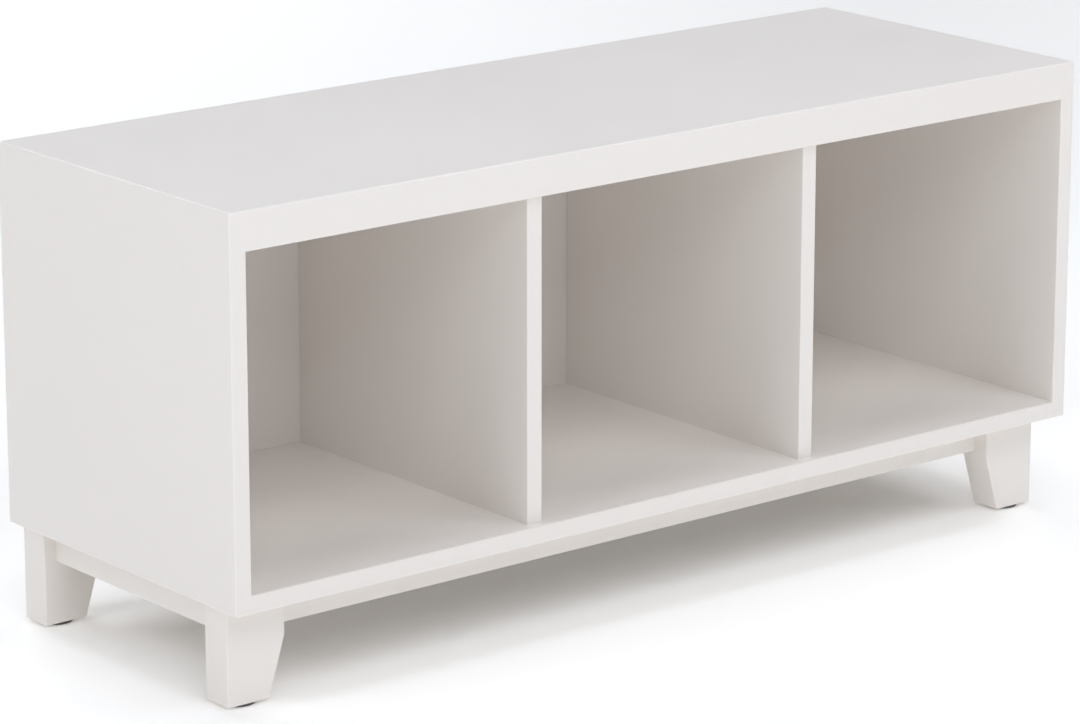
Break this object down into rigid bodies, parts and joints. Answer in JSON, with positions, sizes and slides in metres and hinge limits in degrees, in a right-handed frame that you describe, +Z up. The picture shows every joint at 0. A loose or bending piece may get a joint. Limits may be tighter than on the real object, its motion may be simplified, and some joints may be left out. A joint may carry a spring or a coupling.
{
  "type": "entryway bench",
  "caption": "Low painted storage bench with a thick flat seat, a row of open cubbies, and a recessed base of tapered legs and rails.",
  "frame": {"origin": "on the floor, under the middle of the bench", "axes": "+X runs along the bench to the right of somebody who looks at its open front, +Y runs from the open front to the back, +Z is up"},
  "size_m": [1.067, 0.381, 0.483],
  "materials": {
    "painted_board": "fibreboard with a smooth satin off-white lacquer",
    "painted_back": "thin fibreboard with a satin off-white lacquer",
    "painted_base": "hardwood with a satin off-white lacquer",
    "raw_timber": "planed softwood, unpainted",
    "beech_dowel": "fluted beech dowel, unpainted",
    "zinc_steel": "bright zinc plate",
    "foot_plastic": "dark moulded round glide"
  },
  "bodies": {
    "root": {"back_panel": "painted_back", "back_pin_bottom_left": "zinc_steel", "back_pin_bottom_right": "zinc_steel", "back_pin_top_left": "zinc_steel", "back_pin_top_right": "zinc_steel", "block_screw_back_left": "zinc_steel", "block_screw_back_right": "zinc_steel", "block_screw_front_left": "zinc_steel", "block_screw_front_right": "zinc_steel", "bottom_panel": "painted_board", "corner_block_back_left": "raw_timber", "corner_block_back_right": "raw_timber", "corner_block_front_left": "raw_timber", "corner_block_front_right": "raw_timber", "divider_left": "painted_board", "divider_left_dowel_back": "beech_dowel", "divider_left_dowel_front": "beech_dowel", "divider_left_screw_back": "zinc_steel", "divider_left_screw_front": "zinc_steel", "divider_right": "painted_board", "divider_right_dowel_back": "beech_dowel", "divider_right_dowel_front": "beech_dowel", "divider_right_screw_back": "zinc_steel", "divider_right_screw_front": "zinc_steel", "foot_pad_back_left": "foot_plastic", "foot_pad_back_right": "foot_plastic", "foot_pad_front_left": "foot_plastic", "foot_pad_front_right": "foot_plastic", "leg_back_left": "painted_base", "leg_back_right": "painted_base", "leg_front_left": "painted_base", "leg_front_right": "painted_base", "pad_nail_back_left": "zinc_steel", "pad_nail_back_right": "zinc_steel", "pad_nail_front_left": "zinc_steel", "pad_nail_front_right": "zinc_steel", "rail_back": "painted_base", "rail_back_dowel_left": "beech_dowel", "rail_back_dowel_right": "beech_dowel", "rail_front": "painted_base", "rail_front_dowel_left": "beech_dowel", "rail_front_dowel_right": "beech_dowel", "rail_left": "painted_base", "rail_left_dowel_back": "beech_dowel", "rail_left_dowel_front": "beech_dowel", "rail_right": "painted_base", "rail_right_dowel_back": "beech_dowel", "rail_right_dowel_front": "beech_dowel", "side_panel_left": "painted_board", "side_panel_left_dowel_back": "beech_dowel", "side_panel_left_dowel_front": "beech_dowel", "side_panel_left_screw_back": "zinc_steel", "side_panel_left_screw_front": "zinc_steel", "side_panel_right": "painted_board", "side_panel_right_dowel_back": "beech_dowel", "side_panel_right_dowel_front": "beech_dowel", "side_panel_right_screw_back": "zinc_steel", "side_panel_right_screw_front": "zinc_steel", "top_panel": "painted_board"}
  },
  "joints": []
}
